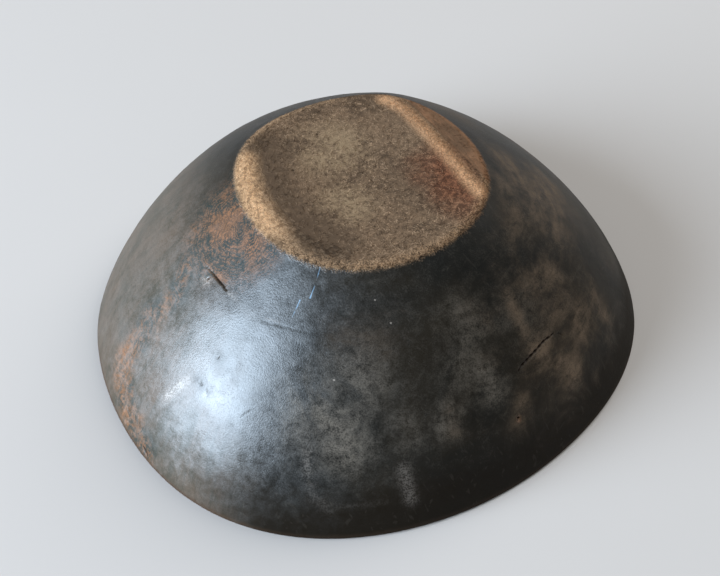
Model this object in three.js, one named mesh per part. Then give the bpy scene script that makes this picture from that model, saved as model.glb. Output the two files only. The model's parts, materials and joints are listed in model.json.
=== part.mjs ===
// A wooden bowl carved from one block, lying rim down with its foot up.
// Lengths are in millimetres, angles in degrees. +Z is up and the front faces -Y.
import * as THREE from 'three';

// Overall form. Radii are means: both outlines are out of round.
const bowlHeight = 101.5;
const rimRadius = 149;
const footRadius = 63.1;
const footCentreX = -0.7;
const footCentreY = -1.9;

// Hand carving and drying have pushed the outlines in and out.
// Each wave has a count of bulges, their depth, and the direction of one of them.
const rimWaves = [
  { bulges: 2, depth: 4.1, direction: 56 },
  { bulges: 3, depth: 2.2, direction: -3 },
  { bulges: 4, depth: 1.4, direction: -10 },
  { bulges: 5, depth: 0.4, direction: -27 },
  { bulges: 6, depth: 0.7, direction: -1 },
];
const footWaves = [
  { bulges: 2, depth: 0.8, direction: 60 },
  { bulges: 3, depth: 1.1, direction: 43 },
  { bulges: 4, depth: 1.0, direction: -18 },
];

// Foot: a flat ring to stand on, round a shallow dish
const standingRingWidth = 14;
const dishDepth = 2;
const ringMargin = 0.15;

// Foot edge: rolled over, and worn wide and low at the front left
const edgeWidth = 2.4;
const edgeDrop = 1.2;
const wornExtraWidth = 8.4;
const wornExtraDrop = 2.6;
const wornDirection = 212;
const wornSpread = 36;

// A slanted cut takes off the back right of the foot, beyond a straight ridge.
const slantWidth = 18.3;
const slantAngle = 12;
const slantDirection = 31.5;

// Outside of the wall: its steepness below the foot and at the rim,
// and how far it holds each of them, as a share of its straight length
const wallAngleAtFoot = 35;
const wallAngleAtRim = 71.7;
const heldAtFoot = 0.32;
const heldAtRim = 0.31;

// Wood left between the outside and the hollow
const lipThickness = 8;
const wallThicknessAtFoot = 12;
const floorThickness = 14;
const lipEdgeRadius = 2;
const hollowBlend = 26;

// Fineness of the surface
const sliceCount = 96;
const dishSteps = 4;
const edgeSteps = 3;
const wallSteps = 16;
const lipSteps = 3;
const floorSteps = 4;

const patinaColour = 0x2b2622;
const patinaRoughness = 0.35;

function radians(degrees) {
  return THREE.MathUtils.degToRad(degrees);
}

function wavyRadius(meanRadius, waves, angle) {
  let radius = meanRadius;
  for (const wave of waves) {
    radius += wave.depth * Math.cos(wave.bulges * (angle - radians(wave.direction)));
  }
  return radius;
}

// How much of the wear at the foot edge shows in one direction, from 0 to 1
function edgeWear(angle) {
  const turn = angle - radians(wornDirection);
  const away = Math.atan2(Math.sin(turn), Math.cos(turn));
  return Math.exp(-((away / radians(wornSpread)) ** 2));
}

// How far out from the middle of the foot the slanted cut starts in one direction
function ridgeRadius(angle) {
  const facing = Math.cos(angle - radians(slantDirection));
  return facing > 0 ? (footRadius - slantWidth) / facing : Infinity;
}

// A point of the foot, lowered where the slanted cut passes under it
function footPoint(angle, radius, height) {
  const facing = Math.cos(angle - radians(slantDirection));
  const beyondRidge = Math.max(0, radius * facing - (footRadius - slantWidth));
  return new THREE.Vector3(
    footCentreX + radius * Math.cos(angle),
    footCentreY + radius * Math.sin(angle),
    height - beyondRidge * Math.tan(radians(slantAngle)),
  );
}

function rimPoint(angle, inset, height) {
  const radius = wavyRadius(rimRadius, rimWaves, angle) - inset;
  return new THREE.Vector3(radius * Math.cos(angle), radius * Math.sin(angle), height);
}

// The foot from the rings of its dish to the ridge or standing ring, and over the edge
function footPoints(angle) {
  const wear = edgeWear(angle);
  const radius = wavyRadius(footRadius, footWaves, angle);
  const edgeStart = radius - edgeWidth - wornExtraWidth * wear;
  const edgeHeight = bowlHeight - edgeDrop - wornExtraDrop * wear;
  const dishRadius = footRadius - standingRingWidth;
  const dishEdge = Math.min(dishRadius, ridgeRadius(angle), edgeStart);
  const points = [];
  for (let step = 1; step <= dishSteps; step += 1) {
    const ringRadius = dishEdge * step / dishSteps;
    const depth = dishDepth * (1 - Math.min(1, ringRadius / dishRadius) ** 2) ** 2;
    points.push(footPoint(angle, ringRadius, bowlHeight - depth));
  }
  const margin = ringMargin * (edgeStart - dishEdge);
  const crease = THREE.MathUtils.clamp(ridgeRadius(angle), dishEdge + margin, edgeStart - margin);
  points.push(footPoint(angle, crease, bowlHeight));
  const start = footPoint(angle, edgeStart, bowlHeight);
  const bend = footPoint(angle, (edgeStart + radius) / 2, bowlHeight);
  const end = footPoint(angle, radius, edgeHeight);
  points.push(...new THREE.QuadraticBezierCurve3(start, bend, end).getPoints(edgeSteps));
  return points;
}

// The outside of the wall, from the foot edge down to the shoulder over the rounded lip
function wallCurve(angle, footEdge) {
  const shoulder = rimPoint(angle, 0, lipEdgeRadius);
  const outward = outwardFrom(footEdge, shoulder);
  const length = shoulder.distanceTo(footEdge);
  const steer = (from, reach, degrees) => {
    const point = from.clone().addScaledVector(outward, reach * Math.cos(radians(degrees)));
    point.z -= reach * Math.sin(radians(degrees));
    return point;
  };
  return new THREE.CubicBezierCurve3(
    footEdge,
    steer(footEdge, heldAtFoot * length, wallAngleAtFoot),
    steer(shoulder, -heldAtRim * length, wallAngleAtRim),
    shoulder,
  );
}

function outwardFrom(inner, outer) {
  return new THREE.Vector3(outer.x - inner.x, outer.y - inner.y, 0).normalize();
}

function outwardDistance(inner, outer) {
  return Math.hypot(outer.x - inner.x, outer.y - inner.y);
}

function lipPoints(angle) {
  const points = [];
  for (let step = 1; step <= lipSteps; step += 1) {
    const turn = radians(90 * step / lipSteps);
    const inset = lipEdgeRadius * (1 - Math.cos(turn));
    points.push(rimPoint(angle, inset, lipEdgeRadius * (1 - Math.sin(turn))));
  }
  for (let step = 0; step < lipSteps; step += 1) {
    const turn = radians(90 * step / lipSteps);
    const inset = lipThickness - lipEdgeRadius * (1 - Math.sin(turn));
    points.push(rimPoint(angle, inset, lipEdgeRadius * (1 - Math.cos(turn))));
  }
  return points;
}

// The lower of two heights, with the corner between them rounded off
function blendedLower(first, second, blend) {
  const overlap = Math.max(0, blend - Math.abs(first - second)) / blend;
  return Math.min(first, second) - overlap * overlap * blend / 4;
}

// The hollow follows the unworn outside at the wall's thickness, and levels out below the foot.
function hollowPoints(angle) {
  const points = [];
  const wall = wallCurve(angle, unwornFootEdge(angle));
  const outward = outwardFrom(wall.v0, wall.v3);
  const lipSlope = -wall.getTangent(1).z;
  for (let step = wallSteps; step >= 0; step -= 1) {
    const share = step / wallSteps;
    const thickness = THREE.MathUtils.lerp(wallThicknessAtFoot, lipThickness * lipSlope, share);
    const slope = -wall.getTangent(share).z;
    points.push(wall.getPoint(share).addScaledVector(outward, -thickness / slope));
  }
  const last = points[points.length - 1];
  const middle = hollowMiddle();
  const rise = outwardDistance(middle, last) * Math.tan(radians(wallAngleAtFoot));
  for (let step = 1; step < floorSteps; step += 1) {
    const share = step / floorSteps;
    const point = last.clone().lerp(middle, share);
    point.z = last.z + rise * share;
    points.push(point);
  }
  for (const point of points) {
    point.z = blendedLower(point.z, middle.z, hollowBlend);
  }
  return points;
}

function unwornFootEdge(angle) {
  const radius = wavyRadius(footRadius, footWaves, angle);
  return new THREE.Vector3(
    footCentreX + radius * Math.cos(angle),
    footCentreY + radius * Math.sin(angle),
    bowlHeight - edgeDrop,
  );
}

function hollowMiddle() {
  return new THREE.Vector3(footCentreX, footCentreY, bowlHeight - floorThickness);
}

// One slice of the bowl, from the dish of the foot out, down, round the lip and up inside
function slicePoints(angle) {
  const foot = footPoints(angle);
  const wall = wallCurve(angle, foot[foot.length - 1]);
  return [
    ...foot,
    ...wall.getPoints(wallSteps).slice(1),
    ...lipPoints(angle),
    ...hollowPoints(angle),
  ];
}

// Joins slices all round, and closes the two middles with a fan of faces each.
function closedSurface(slices, firstMiddle, lastMiddle) {
  const perSlice = slices[0].length;
  const points = [...slices.flat(), firstMiddle, lastMiddle];
  const firstIndex = points.length - 2;
  const lastIndex = points.length - 1;
  const faces = [];
  slices.forEach((slice, index) => {
    const here = index * perSlice;
    const next = ((index + 1) % slices.length) * perSlice;
    faces.push(firstIndex, here, next);
    for (let step = 0; step < perSlice - 1; step += 1) {
      faces.push(here + step, here + step + 1, next + step + 1);
      faces.push(here + step, next + step + 1, next + step);
    }
    faces.push(lastIndex, next + perSlice - 1, here + perSlice - 1);
  });
  const geometry = new THREE.BufferGeometry();
  geometry.setFromPoints(points);
  geometry.setIndex(faces);
  return geometry;
}

// Moves the middle of the rim's extents to the origin, with the lip at height 0.
function standOnOrigin(geometry) {
  geometry.computeBoundingBox();
  const middle = geometry.boundingBox.getCenter(new THREE.Vector3());
  geometry.translate(-middle.x, -middle.y, -geometry.boundingBox.min.z);
  geometry.computeVertexNormals();
}

function makeBowl() {
  const slices = [];
  for (let index = 0; index < sliceCount; index += 1) {
    slices.push(slicePoints(radians(360 * index / sliceCount)));
  }
  const footMiddle = footPoint(0, 0, bowlHeight - dishDepth);
  const geometry = closedSurface(slices, footMiddle, hollowMiddle());
  standOnOrigin(geometry);
  const material = new THREE.MeshStandardMaterial({
    color: patinaColour,
    roughness: patinaRoughness,
    metalness: 0,
  });
  const bowl = new THREE.Mesh(geometry, material);
  bowl.name = 'bowl';
  return bowl;
}

const model = new THREE.Group();
model.name = 'wooden_bowl';
model.add(makeBowl());

export default model;
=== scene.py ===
import json
import math
import random

import bpy
import numpy as np
from mathutils import Matrix, Vector

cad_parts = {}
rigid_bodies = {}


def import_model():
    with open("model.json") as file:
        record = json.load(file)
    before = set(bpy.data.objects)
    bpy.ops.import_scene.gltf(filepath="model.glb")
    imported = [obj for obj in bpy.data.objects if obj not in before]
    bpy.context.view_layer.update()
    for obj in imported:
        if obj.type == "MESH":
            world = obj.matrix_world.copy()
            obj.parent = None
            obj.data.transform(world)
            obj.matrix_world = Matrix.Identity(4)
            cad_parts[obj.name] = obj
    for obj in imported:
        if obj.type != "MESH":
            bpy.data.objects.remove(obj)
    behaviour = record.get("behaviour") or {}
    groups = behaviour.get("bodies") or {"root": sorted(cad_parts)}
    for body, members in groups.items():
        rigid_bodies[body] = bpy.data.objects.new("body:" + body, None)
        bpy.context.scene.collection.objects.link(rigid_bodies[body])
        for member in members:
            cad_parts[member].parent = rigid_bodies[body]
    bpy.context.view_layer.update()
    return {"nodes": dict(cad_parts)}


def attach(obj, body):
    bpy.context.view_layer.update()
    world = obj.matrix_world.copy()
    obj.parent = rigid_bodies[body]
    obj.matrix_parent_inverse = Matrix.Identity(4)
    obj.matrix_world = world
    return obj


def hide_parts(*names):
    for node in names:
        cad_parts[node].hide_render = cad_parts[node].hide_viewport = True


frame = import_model()
print("frame loaded")

# Shape of the carved bowl: lengths in metres, strand turns in degrees. Rings of faces are
# counted from the middle of the hollow to where its wall ends, to the lip and to the foot's edge.
bowlShape = {
    "footCentre": (-0.0026, -0.0014),
    "footFloorHeight": 0.0995,
    "hollowTop": 0.0875,
    "hollowRings": 20,
    "lipRings": 26,
    "wallRings": 43,
    "weldedWithin": 0.00001,
    "squaredWithin": 1.2,
    "patchSteps": 6,
    "patchSpan": 24,
    "hollowKept": 0.16,
    "footLowered": 0.00055,
    "lipSwell": 0.0003,
    "carvingSize": 0.04,
    "carvingDepth": 0.0006,
    "rippleSize": 0.011,
    "rippleDepth": 0.00022,
    "gougeSize": 0.014,
    "gougeDepth": 0.0007,
    "lumpSize": 0.009,
    "lumpDepth": 0.00025,
    "strandSize": (0.0016, 0.006),
    "strandDepth": 0.00007,
    "strandTurns": (18, 74, 131),
}

# Waves that make the sides of the marks wander: their direction and closeness, and their size
markWaves = [((1400, 1100, 600), 0.00012), ((-900, 3100, 2700), 0.00005)]
markTaper = 0.75

# Carved or split marks: points along each, half its width and its depth, all in millimetres
carvedMarks = {
    "leftSplit": ([(-84.8, -34.8, 78), (-80.2, -43.6, 77.8), (-77.6, -46.6, 78.2),
                   (-73.5, -53, 78.2), (-70.3, -57.6, 78.4), (-67.6, -62.2, 78)], 0.6, 1.1),
    "rightSplit": ([(92.4, -65.2, 51.8), (86.5, -71.5, 52.6), (82.7, -76.4, 52.1),
                    (74.7, -85.4, 50.9), (72.5, -88.9, 49.6)], 1.05, 1.6),
    "rightBranch": ([(91.4, -66.4, 52.1), (95.5, -63.6, 49.6), (100.1, -63.6, 45.6)], 0.6, 0.6),
    "chip": ([(-78.7, -50.4, 75.8), (-77.9, -51.2, 75.7)], 1.5, 0.7),
    "frontScore": ([(-49.6, -80.2, 78.1), (-38, -85, 79.2), (-25.8, -89.7, 79.8)], 1.0, 0.05),
    "shortScore": ([(-44.5, -83.6, 76.6), (-33.5, -88.6, 77.2)], 0.9, 0.05),
    "wormhole": ([(73.3, -102.7, 32.9), (73.5, -103.6, 32.2)], 1.2, 2.4),
    "leftNick": ([(-81.6, -93.7, 49.8), (-79.5, -96.4, 49.3)], 1.1, 0.3),
    "leftNickEnd": ([(-78.2, -98, 49.3), (-77.2, -99.2, 48.4)], 0.9, 0.3),
    "leftPit": ([(-71.9, -87.7, 60.7), (-71.3, -88.2, 60.6)], 1.3, 0.3),
    "frontPit": ([(-59.6, -113.1, 47.6), (-57.2, -112.8, 49.2), (-54.7, -112.1, 51)], 1.0, 0.12),
    "rimKnot": ([(-122.3, -82.2, 12.9), (-121.5, -84, 11.9)], 1.9, 0.5),
    "rimNick": ([(-113.5, -101, 6.4), (-110.5, -106, 4)], 1.5, 0.9),
    "footPitLeft": ([(-38.4, 1.5, 101), (-36.8, 0.5, 101)], 1.5, 1.5),
    "footPitBack": ([(-26.7, 28.9, 101.2), (-25.5, 28.1, 101.2)], 1.3, 1.5),
    "footPitMiddle": ([(1.4, -5.3, 99.6), (2.8, -4.5, 99.6)], 1.2, 1.3),
    "footPitFar": ([(0, 51.8, 101.4), (2.4, 51.2, 101.4), (4.4, 49, 101.4)], 1.1, 1.3),
}


def metres(point):
    return Vector(point) / 1000


def enterEdit():
    bpy.ops.object.mode_set(mode="EDIT")


def leaveEdit():
    bpy.ops.object.mode_set(mode="OBJECT")


def clearSelection():
    if bpy.context.object and bpy.context.object.mode != "OBJECT":
        leaveEdit()
    bpy.ops.object.select_all(action="DESELECT")


def pickOnly(obj):
    clearSelection()
    obj.hide_viewport = False
    obj.select_set(True)
    bpy.context.view_layer.objects.active = obj


def applyModifier(obj, kind, name, **settings):
    modifier = obj.modifiers.new(name, kind)
    for key, value in settings.items():
        setattr(modifier, key, value)
    pickOnly(obj)
    bpy.ops.object.modifier_apply(modifier=modifier.name)


def moveZone(obj, name, strength, group):
    # Moves a zone out along its normals, or in where the strength is negative
    applyModifier(obj, "DISPLACE", name, strength=strength, mid_level=0, vertex_group=group)


def placesOf(elements, key):
    places = np.empty(len(elements) * 3)
    elements.foreach_get(key, places)
    return places.reshape(-1, 3)


def vertexPlaces(obj):
    return placesOf(obj.data.vertices, "co")


def facePlaces(obj):
    return placesOf(obj.data.polygons, "center")


def editOnly(obj, mode, elements, chosen):
    # Goes into edit mode with only the chosen elements selected
    pickOnly(obj)
    enterEdit()
    bpy.ops.mesh.select_mode(type=mode)
    bpy.ops.mesh.select_all(action="DESELECT")
    leaveEdit()
    getattr(obj.data, elements).foreach_set("select", np.asarray(chosen, dtype=bool))
    enterEdit()


def editVertices(obj, chosen):
    editOnly(obj, "VERT", "vertices", chosen)


def editFaces(obj, chosen):
    editOnly(obj, "FACE", "polygons", chosen)


def editZone(obj, name):
    # The same with the faces that lie wholly in a group
    weights = groupWeights(obj, name)
    lowest = [min(weights[list(face.vertices)]) for face in obj.data.polygons]
    editFaces(obj, np.array(lowest) > 0.99)


def paintGroup(obj, name, weights, steps=60):
    # Puts weights from 0 to 1 on the vertices, in steps fine enough not to show
    group = obj.vertex_groups.new(name=name)
    levels = np.round(np.clip(weights, 0, 1) * steps).astype(int)
    for level in np.unique(levels):
        if level > 0:
            group.add(np.nonzero(levels == level)[0].tolist(), level / steps, "REPLACE")


def groupWeights(obj, name):
    index = obj.vertex_groups[name].index
    found = [[entry.weight for entry in vertex.groups if entry.group == index]
             for vertex in obj.data.vertices]
    return np.array([weights[0] if weights else 0.0 for weights in found])


def keepAsAttribute(obj, name):
    # A material can read an attribute, but not a vertex group
    weights = groupWeights(obj, name)
    obj.vertex_groups.remove(obj.vertex_groups[name])
    noteValue(obj, name, weights)


def noteValue(obj, name, values):
    attribute = obj.data.attributes.new(name, "FLOAT", "POINT")
    attribute.data.foreach_set("value", np.asarray(values, dtype=np.float32))


def stepsFrom(obj, start):
    # Counts the rings of faces between one vertex and every other
    steps = np.full(len(obj.data.vertices), -1)
    steps[start] = 0
    waiting = [np.array(face.vertices) for face in obj.data.polygons]
    ring = 0
    while (steps == ring).any():
        reached = [face for face in waiting if (steps[face] == ring).any()]
        waiting = [face for face in waiting if (steps[face] != ring).all()]
        ring += 1
        for face in reached:
            steps[face[steps[face] < 0]] = ring
    return steps


def gapAndShare(places, points):
    # Distance of every place from a line through some points, in metres,
    # and how far along the line its nearest spot is, from 0 to 1
    best = np.full(len(places), np.inf)
    nearest = np.zeros(len(places))
    corners = [np.array(metres(point)) for point in points]
    for index, (start, end) in enumerate(zip(corners, corners[1:])):
        along = end - start
        share = np.clip((places - start) @ along / (along @ along), 0, 1)
        gap = np.linalg.norm(places - start - share[:, None] * along, axis=1)
        nearest = np.where(gap < best, (index + share) / (len(corners) - 1), nearest)
        best = np.minimum(best, gap)
    return best, nearest


def distanceToLine(places, points):
    return gapAndShare(places, points)[0]


def textureFrame(name, size, turn):
    # An empty whose scale stretches a texture and whose turn aims it
    empty = bpy.data.objects.new(name, None)
    empty.scale = size
    empty.rotation_euler = (0, 0, math.radians(turn))
    bpy.context.collection.objects.link(empty)
    bpy.context.view_layer.update()
    return empty


def reliefTexture(name, depth=2):
    texture = bpy.data.textures.new(name, "CLOUDS")
    texture.noise_scale = 1.0
    texture.noise_depth = depth
    return texture


def roughen(obj, name, size, turn, strength, group, middle=0.5, depth=2):
    # Presses a stretched cloud pattern into the surface
    empty = textureFrame(name, size, turn)
    applyModifier(obj, "DISPLACE", name, texture=reliefTexture(name, depth), mid_level=middle,
                  strength=strength, texture_coords="OBJECT", texture_coords_object=empty,
                  vertex_group=group)
    bpy.data.objects.remove(empty)


def copyOfNode(node, name):
    pickOnly(frame["nodes"][node])
    bpy.ops.object.duplicate()
    piece = bpy.context.object
    piece.name = name
    for key in [key for key in piece.keys() if key.startswith("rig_")]:
        del piece[key]
    piece.data.materials.clear()
    enterEdit()
    bpy.ops.mesh.select_all(action="SELECT")
    bpy.ops.mesh.remove_doubles(threshold=bowlShape["weldedWithin"])
    squared = bowlShape["squaredWithin"]
    bpy.ops.mesh.tris_convert_to_quads(face_threshold=squared, shape_threshold=squared)
    leaveEdit()
    return piece


def regridFoot(bowl):
    # The foot's fan of long triangles gives way to an even grid, which can carry fine relief
    shape = bowlShape
    pole = Vector((*shape["footCentre"], shape["footFloorHeight"]))
    places = vertexPlaces(bowl)
    nearest = np.linalg.norm(places - np.array(pole), axis=1).argmin()
    editVertices(bowl, np.arange(len(places)) == nearest)
    for step in range(shape["patchSteps"]):
        bpy.ops.mesh.select_more(use_face_step=True)
    bpy.ops.mesh.delete(type="FACE")
    bpy.ops.mesh.select_non_manifold(extend=False, use_wire=False, use_boundary=True,
                                     use_multi_face=False, use_non_contiguous=False,
                                     use_verts=False)
    bpy.ops.mesh.fill_grid(span=shape["patchSpan"])
    bpy.ops.mesh.select_all(action="SELECT")
    bpy.ops.mesh.normals_make_consistent(inside=False)
    leaveEdit()


def nameZones(bowl):
    shape = bowlShape
    places = vertexPlaces(bowl)
    middle = np.array((*shape["footCentre"], shape["hollowTop"]))
    rings = stepsFrom(bowl, np.linalg.norm(places - middle, axis=1).argmin())
    hollow, lip, wall = shape["hollowRings"], shape["lipRings"], shape["wallRings"]
    paintGroup(bowl, "rawFoot", np.interp(rings, [wall - 1, wall, wall + 1], [0, 0.5, 1]))
    paintGroup(bowl, "footPatch", rings > wall + 2)
    paintGroup(bowl, "inside", np.interp(rings, [hollow, hollow + 3], [1, 0]))
    paintGroup(bowl, "hollow", rings <= hollow)
    paintGroup(bowl, "lip", np.interp(rings, [lip - 2, lip, lip + 2], [0, 1, 0]))
    paintGroup(bowl, "upTheWall", np.interp(rings, [lip - 2, wall], [0, 1]))
    paintGroup(bowl, "outside", np.interp(rings, [lip, lip + 1, wall - 1, wall], [0, 1, 1, 0.3]))


def fineFoot(bowl):
    # One more level of faces on the foot, laid back on the carved form and softened
    editZone(bowl, "footPatch")
    bpy.ops.mesh.subdivide(number_cuts=1)
    leaveEdit()
    applyModifier(bowl, "SHRINKWRAP", "foot form", target=frame["nodes"]["bowl"],
                  wrap_method="NEAREST_SURFACEPOINT", vertex_group="footPatch")
    editVertices(bowl, groupWeights(bowl, "rawFoot") > 0.7)
    bpy.ops.mesh.vertices_smooth(factor=0.5, repeat=5)
    leaveEdit()


def thinHollow(bowl):
    # The hollow faces down, so it keeps fewer faces
    editZone(bowl, "hollow")
    bpy.ops.mesh.decimate(ratio=bowlShape["hollowKept"])
    leaveEdit()


def markWeights(places):
    # How deep each place lies in the marks, from 0 to 1 of the deepest, and how deep that is
    deepest = max(depth for points, halfWidth, depth in carvedMarks.values())
    wander = sum(np.sin(places @ np.array(wave)) * size for wave, size in markWaves)
    weights = np.zeros(len(places))
    for points, halfWidth, depth in carvedMarks.values():
        gap, along = gapAndShare(places, points)
        narrowed = 1 - markTaper * np.abs(2 * along - 1) ** 3
        share = np.clip(1 - (gap + wander) / (halfWidth * 0.001 * narrowed), 0, 1)
        share = share * share * (3 - 2 * share)
        weights = np.maximum(weights, share * depth / deepest)
    return weights, deepest * 0.001


def carveMarks(bowl):
    # Edges are cut once round marks on the foot and three times round others, and all are
    # pressed in together
    for cuts, onFoot in ((1, True), (3, False)):
        places = facePlaces(bowl)
        near = np.zeros(len(places), dtype=bool)
        for name, (points, halfWidth, depth) in carvedMarks.items():
            if name.startswith("foot") == onFoot:
                near |= distanceToLine(places, points) < halfWidth * 0.0015 + 0.001
        editFaces(bowl, near)
        bpy.ops.mesh.subdivide(number_cuts=cuts)
        leaveEdit()
    weights, depth = markWeights(vertexPlaces(bowl))
    paintGroup(bowl, "marks", weights)
    moveZone(bowl, "marks", -depth, "marks")


def buildBowl():
    shape = bowlShape
    bowl = copyOfNode("bowl", "bowl_carved")
    regridFoot(bowl)
    nameZones(bowl)
    applyModifier(bowl, "SUBSURF", "smooth", levels=2, render_levels=2)
    thinHollow(bowl)
    fineFoot(bowl)
    print("bowl smoothed, faces:", len(bowl.data.polygons))
    moveZone(bowl, "lip swell", shape["lipSwell"], "lip")
    carving, ripple, gouge, lump = ([shape[name]] * 3 for name in
                                    ("carvingSize", "rippleSize", "gougeSize", "lumpSize"))
    roughen(bowl, "carving", carving, 0, shape["carvingDepth"], "outside", middle=0.75)
    roughen(bowl, "ripple", ripple, 0, shape["rippleDepth"], "outside", middle=0.75)
    roughen(bowl, "gouges", gouge, 0, shape["gougeDepth"], "inside")
    moveZone(bowl, "foot wear", -shape["footLowered"], "rawFoot")
    roughen(bowl, "lumps", lump, 0, shape["lumpDepth"], "rawFoot", middle=0.6)
    width, length = shape["strandSize"]
    for index, turn in enumerate(shape["strandTurns"]):
        roughen(bowl, "strands%d" % index, (length, width, width), turn, shape["strandDepth"],
                "rawFoot", middle=0.6, depth=1)
    carveMarks(bowl)
    for name in ("rawFoot", "inside", "upTheWall", "marks"):
        keepAsAttribute(bowl, name)
    pickOnly(bowl)
    bpy.ops.object.shade_smooth()
    print("bowl carved, faces:", len(bowl.data.polygons))
    return bowl


# Loose fibres on the worn foot: a few modelled strands, scattered in four groups.
# Directions and their spread are in degrees, turns in radians. Stretch multiplies the length.
fibreLook = {
    "halfWidth": 0.00011,
    "pieces": 3,
    "shortest": 0.0026,
    "longerBy": 0.0008,
    "curls": (0.5, -0.9, 0.2, 1.3),
    "seed": 11,
    "highest": 0.10145,
    "batch": 250,
    "edge": {"count": 2200, "direction": 212, "spread": 34, "reach": 0.012, "turn": 0.5,
             "lift": 0.0001, "pitch": (-0.02, 0.05), "stretch": (0.6, 1.3)},
    "fringe": {"count": 900, "directions": (205, 385, 300), "reach": 0.0016, "turn": 0.6,
               "lift": 0.00015, "pitch": (-0.05, 0.3), "stretch": (0.3, 0.75)},
    "ridge": {"count": 700, "direction": 31.5, "away": 0.0455, "spread": 0.0018, "reach": 0.04,
              "turn": 0.9, "lift": 0.0001, "pitch": (-0.02, 0.12), "stretch": (0.4, 0.9)},
    "felt": {"count": 2400, "lift": 0.00008, "pitch": (-0.02, 0.05), "stretch": (0.5, 1.2)},
}


def modelStrand(name, length, curl, chance):
    # A three sided strand, drawn out from a small triangle in bent, tapering steps
    clearSelection()
    radius = fibreLook["halfWidth"] * 0.6
    bpy.ops.mesh.primitive_circle_add(vertices=3, radius=radius, fill_type="NGON",
                                      location=(-length / 2, 0, 0), rotation=(0, math.pi / 2, 0))
    strand = bpy.context.object
    strand.name = name
    bpy.ops.object.transform_apply()
    enterEdit()
    bpy.ops.mesh.select_all(action="SELECT")
    steps = fibreLook["pieces"]
    for step in range(steps):
        sway = curl * math.sin(step * 1.9 + curl * 40) + chance.uniform(-0.3, 0.3)
        move = (length / steps, sway * length / steps * 0.35,
                chance.uniform(-0.06, 0.06) * length / steps)
        bpy.ops.mesh.extrude_region_move(TRANSFORM_OT_translate={"value": move})
        size = 1.7 if step == 0 else 0.95
        if step == steps - 1:
            size = 0.3
        bpy.ops.transform.resize(value=(size, size, size))
    bpy.ops.mesh.select_all(action="SELECT")
    bpy.ops.mesh.normals_make_consistent(inside=False)
    leaveEdit()
    return strand


def surfaceFrame(bowl, place, heading, lift, pitch):
    # Lays a strand on the surface below a place: its length follows the heading
    above = Vector((place[0], place[1], 0.13))
    found, point, normal, face = bowl.ray_cast(above, Vector((0, 0, -1)))
    if not found:
        return None
    along = (heading - normal * heading.dot(normal)).normalized()
    along = (along + normal * pitch).normalized()
    side = normal.cross(along).normalized()
    up = along.cross(side)
    matrix = Matrix((along, side, up)).transposed().to_4x4()
    matrix.translation = point + normal * lift
    return matrix


def footEdgeOf(bowl):
    # Directions of the raw foot's edge round the middle of the foot, and how far out it is in each
    places = vertexPlaces(bowl)
    raw = np.empty(len(places))
    bowl.data.attributes["rawFoot"].data.foreach_get("value", raw)
    flat = places[(raw > 0.42) & (raw < 0.58)][:, :2] - np.array(bowlShape["footCentre"])
    angles = np.arctan2(flat[:, 1], flat[:, 0])
    order = angles.argsort()
    return angles[order], np.hypot(flat[:, 0], flat[:, 1])[order]


def joined(pieces):
    clearSelection()
    for piece in pieces:
        piece.select_set(True)
    bpy.context.view_layer.objects.active = pieces[0]
    bpy.ops.object.join()
    return bpy.context.object


def flatAim(angle):
    return Vector((math.cos(angle), math.sin(angle), 0))


# Each of the next four gives the angle and radius of fibres on the foot and how they are turned
def edgeFibres(chance, edgeAt):
    # On the worn edge, mostly along it
    group = fibreLook["edge"]
    for count in range(group["count"]):
        angle = math.radians(group["direction"] + chance.gauss(0, group["spread"]))
        radius = edgeAt(angle) - chance.uniform(0.0, group["reach"])
        yield angle, radius, angle + math.pi / 2 + chance.gauss(0, group["turn"])


def fringeFibres(chance, edgeAt):
    # At the edge, standing out over it
    group = fibreLook["fringe"]
    for count in range(group["count"]):
        angle = math.radians(chance.triangular(*group["directions"]))
        radius = edgeAt(angle) - chance.uniform(0.0, group["reach"])
        yield angle, radius, angle + chance.gauss(0, group["turn"])


def ridgeFibres(chance, edgeAt):
    # Along the straight ridge where the slanted cut starts
    group = fibreLook["ridge"]
    slant = math.radians(group["direction"])
    for count in range(group["count"]):
        away = group["away"] + chance.gauss(0, group["spread"])
        along = chance.uniform(-group["reach"], group["reach"])
        x = away * math.cos(slant) - along * math.sin(slant)
        y = away * math.sin(slant) + along * math.cos(slant)
        turned = slant + math.pi / 2 + chance.gauss(0, group["turn"])
        yield math.atan2(y, x), math.hypot(x, y), turned


def feltFibres(chance, edgeAt):
    # All over the foot, turned any way
    for count in range(fibreLook["felt"]["count"]):
        angle = chance.uniform(-math.pi, math.pi)
        radius = edgeAt(angle) * math.sqrt(chance.random())
        yield angle, radius, chance.uniform(0, math.pi)


def layFibre(bowl, strands, chance, fibre, group):
    angle, radius, turned = fibre
    place = Vector((*bowlShape["footCentre"], 0)) + flatAim(angle) * radius
    pitch = chance.uniform(*group["pitch"])
    stretch = chance.uniform(*group["stretch"])
    matrix = surfaceFrame(bowl, place, flatAim(turned), group["lift"], pitch)
    if matrix is None:
        return None
    source = chance.choice(strands)
    matrix = matrix @ Matrix.Diagonal((stretch, 1, 1, 1))
    highest = max((matrix @ Vector(corner)).z for corner in source.bound_box)
    matrix.translation.z -= max(0.0, highest - fibreLook["highest"])
    laid = bpy.data.objects.new("fibre", source.data.copy())
    laid.matrix_world = matrix
    return laid


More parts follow.
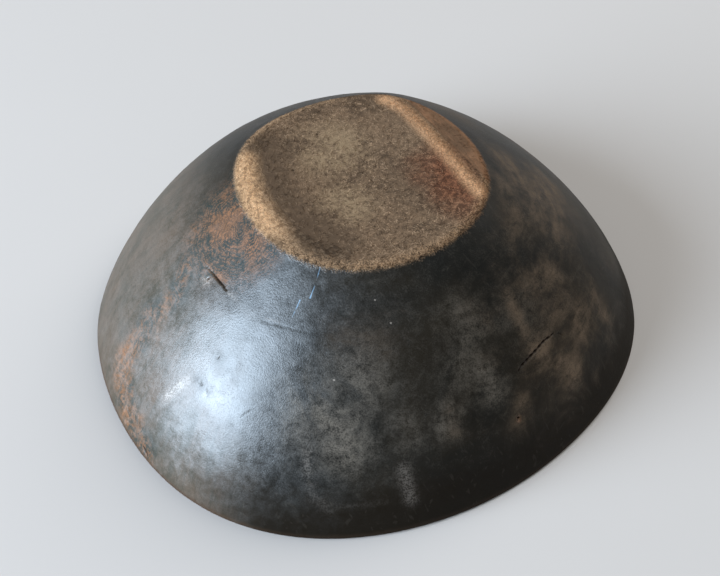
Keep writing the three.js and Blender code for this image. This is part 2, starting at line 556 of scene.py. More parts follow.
def scatterFibres(bowl, footEdge):
    look = fibreLook
    chance = random.Random(look["seed"])
    strands = []
    for index, curl in enumerate(look["curls"]):
        length = look["shortest"] + look["longerBy"] * index
        strands.append(modelStrand("strand%d" % index, length, curl, chance))

    def edgeAt(angle):
        return float(np.interp(angle, *footEdge, period=2 * math.pi))

    made = []
    for name, fibresOf in (("edge", edgeFibres), ("fringe", fringeFibres),
                           ("ridge", ridgeFibres), ("felt", feltFibres)):
        for fibre in fibresOf(chance, edgeAt):
            laid = layFibre(bowl, strands, chance, fibre, look[name])
            if laid is not None:
                made.append(laid)
    for strand in strands:
        bpy.data.objects.remove(strand)
    batches = []
    for first in range(0, len(made), look["batch"]):
        batch = made[first:first + look["batch"]]
        for fibre in batch:
            bpy.context.collection.objects.link(fibre)
        batches.append(joined(batch))
    fibres = joined(batches)
    fibres.name = "foot_fibres"
    bpy.ops.object.transform_apply()
    bpy.ops.object.shade_smooth()
    print("fibres laid:", len(made), "faces:", len(fibres.data.polygons))
    return fibres


class Shade:
    # Wraps one socket of a material, so that its maths reads as plain expressions
    def __init__(self, tree, socket=None):
        self.tree = tree
        self.socket = socket

    def node(self, kind, settings=None, inputs=None, output=0):
        made = self.tree.nodes.new(kind)
        for name, value in (settings or {}).items():
            setattr(made, name, value)
        for name, value in (inputs or {}).items():
            target = made.inputs[name]
            if isinstance(value, Shade):
                self.tree.links.new(value.socket, target)
            elif target.type == "RGBA":
                target.default_value = (*value, 1)
            else:
                target.default_value = value
        return Shade(self.tree, made.outputs[output] if made.outputs else None)

    def maths(self, operation, *values):
        return self.node("ShaderNodeMath", {"operation": operation}, dict(enumerate(values)))

    def vector(self, operation, *values, output=0):
        inputs = dict(enumerate((self, *values)))
        return self.node("ShaderNodeVectorMath", {"operation": operation}, inputs, output)

    def __add__(self, other):
        return self.maths("ADD", self, other)

    def __radd__(self, other):
        return self.maths("ADD", other, self)

    def __sub__(self, other):
        return self.maths("SUBTRACT", self, other)

    def __rsub__(self, other):
        return self.maths("SUBTRACT", other, self)

    def __mul__(self, other):
        return self.maths("MULTIPLY", self, other)

    def __truediv__(self, other):
        return self.maths("DIVIDE", self, other)

    def __pow__(self, other):
        return self.maths("POWER", self, other)

    def sine(self):
        return self.maths("SINE", self)

    def size(self):
        return self.maths("ABSOLUTE", self)

    def larger(self, other):
        return self.maths("MAXIMUM", self, other)

    def smaller(self, other):
        return self.maths("MINIMUM", self, other)

    def ramp(self, low, high):
        # From 0 at the first value to 1 at the second, either of which may be the larger
        return self.node("ShaderNodeMapRange", {"interpolation_type": "SMOOTHSTEP"},
                         {"Value": self, "From Min": low, "From Max": high})

    def reached(self, reach):
        # A ramp over distances given in millimetres
        return self.ramp(reach[0] / 1000, reach[1] / 1000)

    def mix(self, first, second):
        inputs = {0: self, 6: first, 7: second}
        return self.node("ShaderNodeMix", {"data_type": "RGBA"}, inputs, 2)

    def noise(self, scale, detail=4.0, distortion=0.0, roughness=0.5):
        inputs = {"Vector": self, "Scale": scale, "Detail": detail, "Roughness": roughness,
                  "Distortion": distortion}
        return self.node("ShaderNodeTexNoise", None, inputs)

    def turned(self, degrees, stretch):
        # The same coordinates, turned about Z and then stretched
        rotation = (0, 0, math.radians(degrees))
        turn = self.node("ShaderNodeMapping", None, {"Vector": self, "Rotation": rotation})
        return turn.node("ShaderNodeMapping", None, {"Vector": turn, "Scale": stretch})

    def apart(self):
        outputs = self.node("ShaderNodeSeparateXYZ", None, {0: self}).socket.node.outputs
        return [Shade(self.tree, output) for output in outputs]

    def combined(self, *parts):
        return self.node("ShaderNodeCombineXYZ", None, dict(enumerate(parts)))

    def fromAxis(self):
        # Distance from the Z axis
        x, y = self.apart()[:2]
        return (x * x + y * y) ** 0.5

    def gapTo(self, point):
        # Distance from a place given in millimetres
        return self.vector("DISTANCE", metres(point), output=1)

    def gapToLine(self, points):
        # Distance from a line through places given in millimetres
        best = None
        for start, end in zip(points, points[1:]):
            along = metres(end) - metres(start)
            offset = self.vector("SUBTRACT", metres(start))
            share = offset.vector("DOT_PRODUCT", along / along.length_squared, output=1)
            share = share.larger(0).smaller(1)
            spot = share.vector("MULTIPLY", along)
            gap = offset.vector("DISTANCE", spot, output=1)
            best = gap if best is None else best.smaller(gap)
        return best


# Colours and places of the finish. Colours are linear, lengths in millimetres, the bump's depth
# in metres. A reach has the distance where something starts, then the one where it is full.
patinaLook = {
    "black": (0.008, 0.0085, 0.0075),
    "brownBlack": (0.018, 0.0145, 0.0095),
    "haze": (0.148, 0.134, 0.112),
    "tan": (0.15, 0.112, 0.078),
    "tanMiddle": (95, -62, 42),
    "tanReach": (85, 20),
    # Olive black of the painted shade near the floor
    "bottomShade": (0.0095, 0.0065, 0.003),
    "taupe": (0.14, 0.106, 0.078),
    "mossy": (0.072, 0.066, 0.048),
    "paleOrange": (0.36, 0.215, 0.145),
    "orange": (0.34, 0.155, 0.068),
    "orangeDark": (0.16, 0.085, 0.045),
    "teal": (0.03, 0.045, 0.043),
    "ringMiddle": (-62.0, -33.0, 93.2),
    "ringReach": (38, 16),
    "ringSpacing": 1.9,
    "chalk": (0.46, 0.42, 0.38),
    "blue": (0.19, 0.34, 0.5),
    "split": (0.016, 0.01, 0.006),
    # Colour of the painted shade in the carved marks
    "rimBrown": (0.075, 0.045, 0.027),
    "rimReach": (4.2, 1.8),
    "hollow": (0.052, 0.032, 0.019),
    "hollowDark": (0.019, 0.012, 0.008),
    "smear": (0.012, 0.013, 0.011),
    "roughness": 0.45,
    "bumpDepth": 0.00055,
    "polishBend": 1.7,
    "polishTint": (0.84, 0.93, 1.0),
    "polishRoughness": 0.4,
    "polishMiddle": (-90, -82, 62),
    "polishReach": (150, 40),
    "polishEverywhere": 0.04,
    "polishHandled": 0.68,
    "polishUneven": 3.1,
    "brightMiddle": (-78, -84, 61),
    "brightReach": (45, 0),
    "brightGain": 0.2,
}

# Bands, smears and patches on the wall: points along each, half its width, and its strength
wallSmears = {
    "orangeBand": [
        ([(-86, -22, 79.5), (-90.6, -38.3, 71.6)], 8, 0.75),
        ([(-90.6, -38.3, 71.6), (-95.3, -51.1, 62.7)], 7, 1.0),
        ([(-95.3, -51.1, 62.7), (-110, -52, 48.6)], 9, 0.75),
        ([(-110, -52, 48.6), (-116, -58, 40), (-126, -63, 20)], 10, 0.95),
        ([(-126, -63, 20), (-122, -83, 12.4), (-112.5, -102, 6)], 10, 1.15),
    ],
    "chalkSmears": [
        ([(-99.5, -92.4, 34.8), (-93.5, -91.6, 41), (-88.4, -90.8, 46.2)], 2.2, 0.8),
        ([(16.4, -132.2, 31.5), (20.4, -139.6, 16.7)], 3.0, 0.26),
        ([(-28.6, -128.3, 41.7), (-28.7, -134.8, 33.2)], 2.0, 0.22),
        ([(-28.7, -134.8, 33.2), (-25.6, -142, 22.2), (-18.5, -144.9, 17.3)], 3.0, 0.08),
        ([(-18.5, -144.9, 17.3), (8.9, -141.4, 18.6)], 1.2, 0.05),
        ([(-67.6, -62.2, 78), (-61.1, -70.4, 77.7), (-54, -77, 78)], 0.7, 0.5),
        ([(-48.6, -79.2, 79.2), (-42, -82.2, 79.6)], 0.5, 0.22),
        ([(-11.8, -102.1, 70.8), (-3.9, -99.7, 73)], 1.6, 0.1),
        ([(-80.5, -50.5, 74.3), (-77.5, -52.5, 74.9)], 1.9, 0.5),
        ([(37, -75.5, 88.5), (44, -69, 90.5)], 0.6, 0.3),
    ],
    "hazePatches": [
        ([(-23.4, -112.8, 59.7), (-14.6, -119.5, 53.2)], 14, 0.5),
        ([(-14.6, -119.5, 53.2), (-9.5, -128.1, 43)], 12, 0.5),
        ([(-8, -108, 64), (0.7, -107.9, 64.7)], 13, 0.3),
        ([(-34, -119, 52), (-31.9, -121.9, 48.7)], 12, 0.22),
        ([(16, -120, 49), (18.6, -122.6, 44)], 8, 0.26),
        ([(39.1, -110.7, 49.2), (35.7, -116.7, 43.8)], 7, 0.42),
        ([(44.8, -98, 59.7), (50, -96, 60)], 12, 0.28),
        ([(54.2, -95.5, 56.5), (61.3, -99, 47.8)], 8, 0.45),
        ([(44, -77, 77), (50, -84, 70)], 12, 0.2),
        ([(68, -72, 68), (78, -66, 66)], 12, 0.16),
        ([(40, 108, 60), (5, 116, 58)], 20, 0.2),
        ([(-50, 84, 78), (-84, 62, 62)], 20, 0.22),
    ],
    "tanAndSheenPatches": [
        ([(68.3, -61.5, 74.7), (72, -67, 68), (76.8, -72.5, 60.3)], 4, 0.34),
        ([(84, -76, 50), (93.7, -74.3, 43.4)], 8, 0.75),
        ([(93.7, -74.3, 43.4), (103.4, -74.4, 32.4)], 9, 0.6),
        ([(88, -58, 61), (96, -52, 57)], 10, 0.26),
        ([(118.2, -34.9, 43.3), (125, -36.4, 34)], 7, 0.4),
        ([(103, -60, 48), (110, -50, 45)], 10, 0.5),
        ([(-12, -90, 79), (2, -94, 77)], 11, 0.16),
        ([(80, -48, 72), (90, -40, 69)], 11, 0.3),
        ([(74.8, -97.2, 38), (73.4, -104.3, 30.9)], 6, 0.34),
        ([(39.1, -110.7, 49.2), (41.1, -116.4, 41)], 4, 0.3),
        # This patch, the next one and the last one lie on the upper right shoulder; they are
        # partly painted reflection, a brown sheen
        ([(95.9, 30.1, 65.4), (91, -5, 75)], 18, 0.5),
        ([(79.3, 13.2, 82.3), (74, 28, 84)], 13, 0.5),
        ([(50, 70, 84), (30, 92, 78)], 16, 0.26),
        ([(90, 70, 50), (70, 100, 44)], 20, 0.24),
        ([(-20, 118, 52), (-60, 104, 48)], 22, 0.22),
        ([(68.7, 1.4, 91.8), (75.5, -26.7, 85.4)], 10, 0.36),
    ],
    "darkSmears": [
        ([(-50.5, -80.6, 77.6), (-38, -85.8, 78.4), (-24, -90.5, 79.2)], 1.1, 0.95),
        ([(-46, -83.6, 76.2), (-31, -90, 76.6)], 0.9, 0.9),
        ([(-40, -84, 78.4), (-20, -93, 77)], 4.0, 0.35),
        ([(-82.4, -92.7, 49.9), (-76.6, -100.1, 48.5)], 3.2, 0.6),
        ([(-72.5, -87.4, 61), (-71, -88.4, 60.2)], 3.0, 0.5),
        ([(-59.6, -113.1, 47.6), (-54.7, -112.1, 51)], 1.2, 0.45),
    ],
    "orangeMarks": [
        ([(-82.6, -37.2, 79.1), (-77.2, -45.8, 79.1), (-72.8, -52.2, 79.3), (-68.9, -56.6, 79.8)],
         1.4, 1.1),
        ([(-98, -50, 62), (-105, -58, 50), (-104, -66, 46), (-99, -74, 44)], 1.0, 0.85),
        ([(-107, -58, 47), (-113, -68, 32), (-110, -80, 28)], 1.0, 0.75),
        ([(-110, -52, 46), (-118, -62, 30), (-117, -74, 22)], 0.9, 0.7),
        ([(-120, -52, 38), (-128, -60, 20), (-124, -76, 15), (-114, -98, 9)], 3.0, 0.7),
        ([(73, -102.6, 32.3), (73.4, -103.6, 31.4)], 1.2, 0.8),
    ],
}
chalkSpecks = [(10.5, -86, 83.4), (-16, -106.5, 66.6), (3.1, -78.3, 90.8)]
blueLines = [
    ([(-22.6, -64.5, 98.5), (-24.6, -70.5, 94.5), (-27.2, -75.9, 89.6)], 0.52),
    ([(-32, -75.9, 88.1), (-35.7, -81.8, 82.8)], 0.46),
]


def noteSmears(bowl):
    # Keeps the cover of each group of smears on the vertices, for the material to read
    places = vertexPlaces(bowl)
    for name, lines in wallSmears.items():
        cover = np.zeros(len(places))
        for points, halfWidth, strength in lines:
            gap = distanceToLine(places, points)
            cover = np.maximum(cover, np.exp(-((gap * 1000 / halfWidth) ** 2)) * strength)
        noteValue(bowl, name, cover)


def noteFootGaps(piece, footEdge):
    # Keeps distances from the lines on the foot, and from its edge inwards
    places = vertexPlaces(piece)
    noteValue(piece, "wornEdge", distanceToLine(places, footLook["wornLine"]))
    noteValue(piece, "ridge", distanceToLine(places, footLook["ridgeLine"]))
    noteValue(piece, "redPatch", distanceToLine(places, footLook["redLine"]))
    flat = places[:, :2] - np.array(bowlShape["footCentre"])
    edge = np.interp(np.arctan2(flat[:, 1], flat[:, 0]), *footEdge, period=2 * math.pi)
    noteValue(piece, "edgeGap", edge - np.hypot(flat[:, 0], flat[:, 1]))


def startMaterial(name):
    material = bpy.data.materials.new(name)
    material.use_nodes = True
    material.node_tree.nodes.clear()
    return material, Shade(material.node_tree)


def surface(base, colour, roughness, bump, gloss, bend=1.5, tint=(1.0, 1.0, 1.0)):
    inputs = {"Base Color": colour, "Roughness": roughness, "Normal": bump,
              "Specular IOR Level": gloss, "IOR": bend, "Specular Tint": tint}
    return base.node("ShaderNodeBsdfPrincipled", None, inputs)


def closeMaterial(base, colour, roughness, height, distance, polish=None, shine=None):
    # A dull surface, and over it a glossier one where it was handled
    inputs = {"Height": height, "Strength": 1.0, "Distance": distance}
    bump = base.node("ShaderNodeBump", None, inputs)
    shader = surface(base, colour, roughness, bump, 0.1)
    if polish is not None:
        look = patinaLook
        glossy = surface(base, colour, shine, bump, 1.0, look["polishBend"], look["polishTint"])
        shader = base.node("ShaderNodeMixShader", None, {0: polish, 1: shader, 2: glossy})
    base.node("ShaderNodeOutputMaterial", None, {"Surface": shader})


# Colours of the bare foot, linear, and its places and widths in millimetres
footLook = {
    "dark": (0.098, 0.067, 0.044),
    "middle": (0.19, 0.129, 0.082),
    "light": (0.5, 0.355, 0.23),
    "gap": (0.045, 0.031, 0.02),
    "green": (0.37, 0.285, 0.175),
    "greenSpots": [((-18, 17, 99.7), 30), ((-10, -23, 99.7), 22)],
    "worn": (0.8, 0.53, 0.305),
    "wornDark": (0.4, 0.255, 0.145),
    "wornDirection": 196,
    "fringe": (0.56, 0.37, 0.215),
    "red": (0.08, 0.034, 0.02),
    "redLight": (0.25, 0.105, 0.055),
    "ridge": (0.78, 0.45, 0.245),
    "slant": (0.3, 0.165, 0.092),
    "slantDark": (0.15, 0.092, 0.056),
    "slantEdge": (0.3, 0.165, 0.09),
    "slantDirection": 31.5,
    "ridgeAway": 47.6,
    "redLine": [(37, 5, 101), (46, -11, 101), (50, -22, 101)],
    # Middle of a spot of painted shade on the foot
    "paintedShadeMiddle": (26, -10, 101),
    "wornLine": [(-62, 10, 100), (-62, 1.5, 100), (-60, -8.5, 99.5), (-55.5, -22.5, 98.5),
                 (-47.5, -36.5, 98), (-37, -48.5, 98.6), (-28, -56.5, 99.3)],
    "ridgeLine": [(9.4, 56.7, 101.5), (19.9, 48.5, 101.4), (29.9, 32.2, 101.4), (41.8, 11, 101.5),
                  (50.8, -7.7, 101.5), (56, -16, 101)],
    "fibreLayers": [(18, 1350.0), (74, 1600.0), (131, 1450.0)],
}


def fibrePattern(base, place):
    # Crossing fibres, finer than the modelled ones, and others that follow the edge of the foot
    x, y = place.apart()[:2]
    outer = place.fromAxis()
    aroundFoot = base.combined(x / outer * 0.011, y / outer * 0.011, outer)
    following = aroundFoot.noise(1000.0, detail=2.0, distortion=0.15)
    wander = place.node("ShaderNodeTexNoise", None, {"Vector": place, "Scale": 90.0}, output=1)
    warped = wander.vector("MULTIPLY_ADD", (0.006, 0.006, 0.006), place)
    strands = None
    for turn, scale in footLook["fibreLayers"]:
        layer = warped.turned(turn, (0.13, 1.0, 1.0)).noise(scale, detail=2.0, roughness=0.6)
        strands = layer if strands is None else strands.larger(layer)
    return strands - 0.08, following, outer


def noted(base, name):
    return base.node("ShaderNodeAttribute", {"attribute_name": name}, output="Fac")


def footColour(place, strands, following, outer):
    look = footLook
    x, y = place.apart()[:2]
    patches = place.noise(42.0, detail=5.0, distortion=0.5)
    specks = place.noise(330.0, detail=3.0, roughness=0.6)
    grain = place.noise(1500.0, detail=2.0, roughness=0.6)
    fibres = strands * 0.52 + following * 0.08 + specks * 0.1 + grain * 0.3
    first, second = (place.gapTo(middle).ramp(reach / 1000, 0.004)
                     for middle, reach in look["greenSpots"])
    green = first.larger(second)
    tone = patches * 0.42 + specks * 0.38 + grain * 0.2 + green * 0.05
    colour = tone.ramp(0.38, 0.6).mix(look["dark"], look["middle"])
    greened = green * (patches * 0.5 + specks * 0.5).ramp(0.36, 0.6)
    colour = (greened * 0.5).mix(colour, look["green"])
    colour = (fibres.ramp(0.52, 0.61) * 0.62).mix(colour, look["light"])
    colour = (fibres.ramp(0.47, 0.4) * 0.65).mix(colour, look["gap"])
    # Painted shade: the dish just inside the worn edge, and a spot right of the middle, are
    # darkened as if in shade
    shade = noted(place, "wornEdge").ramp(0.032, 0.013) * 1.05
    shade = shade.larger(place.gapTo(look["paintedShadeMiddle"]).ramp(0.024, 0.006) * 0.4)
    colour = (shade * (1.3 - specks)).mix(colour, look["dark"])
    red = noted(place, "redPatch") + (patches - 0.5) * 0.03 + (specks - 0.5) * 0.01
    red = red.ramp(0.024, 0.0)
    redMix = (fibres + (specks - 0.5) * 0.3).ramp(0.44, 0.6).mix(look["red"], look["redLight"])
    colour = (red * 0.9).mix(colour, redMix)
    # Lighter frayed fibres along the foot's edge, partly a painted highlight where the fuzz
    # catches the light
    fringe = (noted(place, "edgeGap") + (specks - 0.5) * 0.006).ramp(0.0065, 0.0005)
    fringe = fringe * (fibres + (grain - 0.5) * 0.3).ramp(0.42, 0.58) * patches.ramp(0.3, 0.55)
    colour = (fringe * 0.6).mix(colour, look["fringe"])
    wornAim = math.radians(look["wornDirection"])
    facing = (x * math.cos(wornAim) + y * math.sin(wornAim)) / outer
    wearing = facing.ramp(0.66, 0.98) * 0.83 + 0.17
    along = following * 0.2 + strands * 0.35 + grain * 0.45
    worn = noted(place, "wornEdge") + (specks - 0.5) * 0.004 + (1 - wearing) * 0.006
    wornMix = along.ramp(0.43, 0.59).mix(look["wornDark"], look["worn"])
    colour = (worn.ramp(0.0108, 0.001) * wearing).mix(colour, wornMix)
    ridge = noted(place, "ridge") + (specks - 0.5) * 0.003
    ridgeMix = (fibres * 0.4 + grain * 0.6).ramp(0.4, 0.6).mix(look["wornDark"], look["ridge"])
    colour = (ridge.ramp(0.0075, 0.0) * 0.85).mix(colour, ridgeMix)
    slant = math.radians(look["slantDirection"])
    ridgeAway = look["ridgeAway"] / 1000
    beyond = (x * math.cos(slant) + y * math.sin(slant)).ramp(ridgeAway, ridgeAway + 0.0014)
    grained = place.turned(-look["slantDirection"] - 90, (0.12, 1.0, 1.0))
    grained = grained.noise(700.0, detail=3.0, distortion=0.3)
    mottled = (grained * 0.25 + patches * 0.5 + grain * 0.25).ramp(0.38, 0.62)
    mottled = mottled.mix(look["slantDark"], look["slant"])
    mottled = (noted(place, "edgeGap").ramp(0.0045, 0.0005) * 0.7).mix(mottled, look["slantEdge"])
    colour = beyond.mix(colour, mottled)
    return colour, beyond


def ringedPatch(place, colour, clouds, medium, fine, grain):
    # A worn patch at the shoulder, with broken rings round its middle
    look = patinaLook
    offset = place.vector("SUBTRACT", metres(look["ringMiddle"]))
    gap = offset.vector("LENGTH", output=1)
    aim = offset.vector("NORMALIZE")
    ticks = place.vector("MULTIPLY_ADD", (9.0, 9.0, 9.0), aim)
    ticks = ticks.noise(46.0, detail=3.0, roughness=0.6)
    wavy = (clouds - 0.5) * 0.018 + (medium - 0.5) * 0.004
    turns = ((gap + wavy) * (2 * math.pi / (look["ringSpacing"] / 1000))).sine()
    patch = gap + (clouds - 0.5) * 0.05 + (fine - 0.5) * 0.012
    patch = patch.reached(look["ringReach"])
    ringed = (turns * 0.05 + ticks * 0.38 + fine * 0.35 + grain * 0.27).ramp(0.49, 0.565)
    ringColour = (clouds * 0.5 + medium * 0.5).ramp(0.44, 0.58)
    ringColour = ringColour.mix(look["teal"], look["orangeDark"])
    ringColour = (ringed * (clouds.ramp(0.34, 0.56) * 0.65 + 0.3)).mix(ringColour, look["orange"])
    return (patch * 0.75).mix(colour, ringColour), patch


def smallMarks(place, colour, fine):
    # Specks of chalk, blue lines and long faint scratches
    look = patinaLook
    for point in chalkSpecks:
        speck = place.gapTo(point).ramp(0.0007, 0.0003)
        colour = (speck * 0.6).mix(colour, look["chalk"])
    for points, width in blueLines:
        near = place.gapToLine(points) + (fine - 0.5) * 0.0006
        near = near.ramp(width / 1000, width / 3000)
        colour = (near * 0.9).mix(colour, look["blue"])
    down = place.turned(35, (0.05, 1.0, 0.4)).noise(520.0, detail=1.0).ramp(0.66, 0.74)
    across = place.turned(-60, (0.05, 1.0, 0.5)).noise(480.0, detail=1.0).ramp(0.68, 0.75)
    return (down.larger(across) * 0.08).mix(colour, look["haze"])


def wallColour(base, place, up):
    # Old black patina, clouded, scuffed and worn through in places
    look = patinaLook
    x, y, z = place.apart()
    away = place.fromAxis()
    flow = base.combined(x / away, y / away, up * 0.11)
    streaks = flow.noise(46.0, detail=5.0, distortion=0.5, roughness=0.6)
    level = base.combined(x / away * 0.25, y / away * 0.25, up)
    rings = level.noise(26.0, detail=6.0, distortion=0.3, roughness=0.62)
    broad = place.noise(15.0, detail=6.0, distortion=0.7)
    clouds = place.noise(34.0, detail=8.0, distortion=1.0, roughness=0.62)
    medium = place.noise(170.0, detail=4.0, distortion=0.4, roughness=0.6)
    fine = place.noise(420.0, detail=3.0, roughness=0.65)
    grain = place.noise(1400.0, detail=1.0)
    speckle = fine * 0.45 + grain * 0.55
    colour = broad.ramp(0.38, 0.68).mix(look["black"], look["brownBlack"])
    dusty = speckle.ramp(0.42, 0.7) * medium.ramp(0.4, 0.62) * 0.13
    colour = dusty.mix(colour, look["haze"])
    breakUp = (medium * 0.45 + speckle * 0.55).ramp(0.32, 0.64)
    crazing = (place.noise(310.0, detail=3.0, distortion=0.3) - 0.5).size().ramp(0.02, 0.002)
    crazing = crazing * (medium * 0.5 + clouds * 0.5).ramp(0.46, 0.58)
    cloudy = noted(base, "hazePatches") * clouds.ramp(0.28, 0.56) * 1.15
    cloudy = cloudy + clouds.ramp(0.5, 0.72) * 0.06
    cloudy = (cloudy * breakUp * 2.3).smaller(1)
    colour = cloudy.mix(colour, look["haze"])
    # Tan mottling on the right, partly painted reflection: a brown sheen laid into the colour on
    # the right and upper right
    right = place.gapTo(look["tanMiddle"]).reached(look["tanReach"])
    tanAndSheen = noted(base, "tanAndSheenPatches") * clouds.ramp(0.22, 0.6)
    tanAndSheen = tanAndSheen + right * clouds.ramp(0.42, 0.7) * 0.2
    tanAndSheen = (tanAndSheen * (breakUp * 1.2 + rings.ramp(0.36, 0.62) * 1.1)).smaller(1)
    colour = tanAndSheen.mix(colour, look["tan"])
    colour = (crazing * 0.6).mix(colour, look["black"])
    # The left side gets mottled taupe and mossy patina, partly painted sheen: the side towards the
    # window is painted lighter
    left = (0.0 - x - y * 0.15).ramp(0.062, 0.112)
    hazeAndSheen = streaks * 0.35 + clouds * 0.45 + medium * 0.2 + (speckle - 0.5) * 0.25
    hazeAndSheen = hazeAndSheen.ramp(0.36, 0.62).mix(look["mossy"], look["taupe"])
    colour = (left * 0.85).mix(colour, hazeAndSheen)
    # Painted shade: the wall darkens to olive black towards the floor, except on the left
    shadedBottom = (z + (clouds - 0.5) * 0.03).ramp(0.032, 0.012) * (1 - left)
    colour = (shadedBottom * 0.85).mix(colour, look["bottomShade"])
    band = noted(base, "orangeBand") + (clouds - 0.5) * 1.6
    swirls = (place.noise(26.0, detail=4.0, distortion=1.4) * 74.0).sine() * 0.06
    flecks = streaks * 0.2 + medium * 0.15 + fine * 0.35 + grain * 0.3 + swirls
    flecks = flecks.ramp(0.42, 0.62)
    bare = band.ramp(0.2, 0.95) * (clouds.ramp(0.36, 0.6) * 0.2 + flecks * 0.8)
    scraped = noted(base, "orangeMarks") * (fine * 0.6 + grain * 0.4).ramp(0.36, 0.58)
    bare = bare.larger(scraped)
    greyed = noted(base, "orangeBand").ramp(0.1, 0.7) * clouds.ramp(0.56, 0.4)
    colour = (greyed * 0.6).mix(colour, look["teal"])
    bareWood = medium.ramp(0.42, 0.58).mix(look["orange"], look["paleOrange"])
    colour = (bare * 0.66).mix(colour, bareWood)
    colour, patch = ringedPatch(place, colour, clouds, medium, fine, grain)
    dark = noted(base, "darkSmears") * (medium * 0.5 + fine * 0.5).ramp(0.34, 0.58)
    colour = dark.mix(colour, look["smear"])
    chalky = noted(base, "chalkSmears") * (speckle.ramp(0.4, 0.6) * 0.85 + 0.15)
    colour = chalky.mix(colour, look["chalk"])
    colour = smallMarks(place, colour, fine)
    rim = (z + (fine - 0.5) * 0.002).reached(look["rimReach"])
    colour = (rim * (left * 0.6 + 0.2)).mix(colour, look["rimBrown"])
    worn = (bare + patch * 0.8 + shadedBottom * 0.9 + dark).smaller(1)
    return colour, cloudy.larger(tanAndSheen), worn, medium, speckle - crazing * 0.12, streaks


def hollowColour(place, medium, swells):
    # Plain brown wood with a straight grain
    look = patinaLook
    grained = place.turned(20, (0.12, 1.0, 1.0)).noise(110.0, detail=5.0, distortion=0.5)
    grained = (grained * 0.5 + medium * 0.3 + swells * 0.2).ramp(0.38, 0.62)
    return grained.mix(look["hollowDark"], look["hollow"])


def handPolish(place, up, medium, speckle, swells):
    # How much the wall shines, most where it was handled and in a bright spot within that
    look = patinaLook
    handled = place.gapTo(look["polishMiddle"]).reached(look["polishReach"])
    handled = handled * (up + (medium - 0.5) * 0.5 + (swells - 0.5) * 0.3).ramp(0.02, 0.46)
    uneven = (speckle * 0.45 + medium * 0.25 + swells * 0.3 - 0.5) * handled
    bright = place.gapTo(look["brightMiddle"]).reached(look["brightReach"])
    return (handled * look["polishHandled"] + look["polishEverywhere"]
            + bright * look["brightGain"] + uneven * look["polishUneven"])


def bowlMaterial():
    look = patinaLook
    material, base = startMaterial("old_patina_and_bare_foot")
    place = base.node("ShaderNodeTexCoord", output="Object")
    names = ("rawFoot", "inside", "upTheWall", "marks")
    raw, inside, up, marks = (noted(base, name) for name in names)
    strands, following, outer = fibrePattern(base, place)
    foot, beyond = footColour(place, strands, following, outer)
    wall, cloudy, worn, medium, speckle, streaks = wallColour(base, place, up)
    swells = place.noise(60.0, detail=3.0)
    onFoot = (raw + (speckle - 0.5) * 0.6).ramp(0.3, 0.62)
    colour = inside.mix(wall, hollowColour(place, medium, swells))
    colour = onFoot.mix(colour, foot)
    # Painted shade: the carved marks are darkened by their depth, the deepest the most
    colour = marks.ramp(0.06, 0.4).mix(colour, look["split"])
    roughness = look["roughness"] + cloudy * 0.16 + worn * 0.2 + (speckle - 0.5) * 0.2
    roughness = roughness + inside * 0.12 + onFoot * (0.5 - beyond * 0.2)
    height = speckle * 0.24 + medium * 0.05 + streaks * worn * (1 - inside) * 0.14
    height = height + onFoot * (strands * 0.45 + following * 0.4) * (1.0 - beyond * 0.5)
    polish = (1 - onFoot) * (1 - worn * 0.6) * (1 - marks.ramp(0.02, 0.2)) * (1 - cloudy * 0.5)
    polish = polish * handPolish(place, up, medium, speckle, swells)
    polish = (polish * (1 - inside)).larger(0)
    shine = look["polishRoughness"] + (medium - 0.5) * 0.3 + (speckle - 0.5) * 0.3
    closeMaterial(base, colour, roughness, height, look["bumpDepth"], polish, shine)
    return material


def fibreMaterial():
    material, base = startMaterial("loose_fibres")
    place = base.node("ShaderNodeTexCoord", output="Object")
    strands = place.noise(420.0, detail=2.0)
    colour, beyond = footColour(place, strands + 0.06, strands + 0.06, place.fromAxis())
    colour = (strands.ramp(0.4, 0.7) * 0.25).mix(colour, footLook["light"])
    roughness = 0.8 + (strands - 0.5) * 0.2
    closeMaterial(base, colour, roughness, strands, 0.0001)
    return material


# A pale floor, a tall window on the left, an even, pale room, and the photo's view from above
stageLook = {
    "floorColour": (0.62, 0.61, 0.6),
    "floorSize": 6,
    "windowPlace": (-2.57, -1.13, 1.13),
    "windowSize": (1.97, 1.88),
    "windowPower": 176.0,
    "windowColour": (0.78, 0.88, 1.0),
    "fillPlace": (1.8, 1.8, 2.48),
    "fillSize": (2.7, 2.7),
    "fillPower": 74.0,
    "fillColour": (1.0, 0.98, 0.95),
    "lampTarget": (0, 0, 0.05),
    "roomColour": (0.84, 0.8, 0.76),
    "roomStrength": 0.26,
    "cameraElevation": 47.5,
    "cameraDistance": 0.7,
    "cameraTarget": (-0.0039, 0.01246, 0.0),
    "cameraLens": 61.495,
}


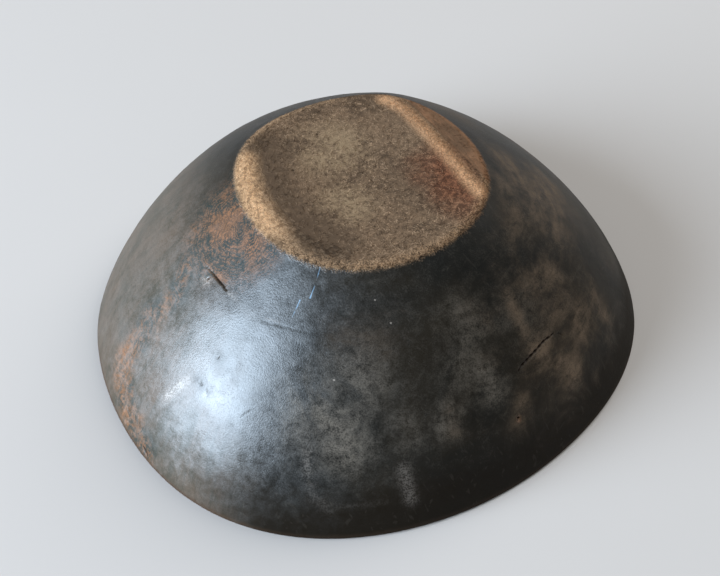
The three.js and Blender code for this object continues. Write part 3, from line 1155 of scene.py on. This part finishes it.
def buildFloor():
    look = stageLook
    bpy.ops.mesh.primitive_plane_add(size=look["floorSize"])
    floor = bpy.context.object
    floor.name = "floor"
    material, base = startMaterial("pale_floor")
    place = base.node("ShaderNodeTexCoord", output="Object")
    tone = place.noise(3.0)
    lighter = tuple(value * 1.04 for value in look["floorColour"])
    closeMaterial(base, tone.mix(look["floorColour"], lighter), 0.8, tone, 0.0001)
    floor.data.materials.append(material)


def addLamp(name):
    look = stageLook
    light = bpy.data.lights.new(name, "AREA")
    light.shape = "RECTANGLE"
    light.size, light.size_y = look[name + "Size"]
    light.energy = look[name + "Power"]
    light.color = look[name + "Colour"]
    lamp = bpy.data.objects.new(name, light)
    bpy.context.collection.objects.link(lamp)
    lamp.location = look[name + "Place"]
    lamp.rotation_mode = "QUATERNION"
    aim = Vector(look["lampTarget"]) - Vector(look[name + "Place"])
    lamp.rotation_quaternion = aim.to_track_quat("-Z", "Y")


def lightRoom():
    world = bpy.data.worlds.new("soft_room")
    world.use_nodes = True
    room = world.node_tree.nodes["Background"].inputs
    room["Color"].default_value = (*stageLook["roomColour"], 1)
    room["Strength"].default_value = stageLook["roomStrength"]
    bpy.context.scene.world = world


def placeCamera():
    look = stageLook
    camera = bpy.data.objects.new("camera", bpy.data.cameras.new("camera"))
    bpy.context.collection.objects.link(camera)
    camera.data.lens = look["cameraLens"]
    elevation = math.radians(look["cameraElevation"])
    back = Vector((0, -math.cos(elevation), math.sin(elevation)))
    camera.location = Vector(look["cameraTarget"]) + back * look["cameraDistance"]
    camera.rotation_mode = "QUATERNION"
    camera.rotation_quaternion = (-back).to_track_quat("-Z", "Y")
    bpy.context.scene.camera = camera


def setStage():
    buildFloor()
    addLamp("window")
    addLamp("fill")
    lightRoom()
    placeCamera()
    bpy.context.scene.view_settings.view_transform = "Standard"


bowl = buildBowl()
noteSmears(bowl)
footEdge = footEdgeOf(bowl)
noteFootGaps(bowl, footEdge)
bowl.data.materials.append(bowlMaterial())
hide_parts("bowl")
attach(bowl, "root")

fibres = scatterFibres(bowl, footEdge)
noteFootGaps(fibres, footEdge)
fibres.data.materials.append(fibreMaterial())
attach(fibres, "root")

setStage()
print("stage set")
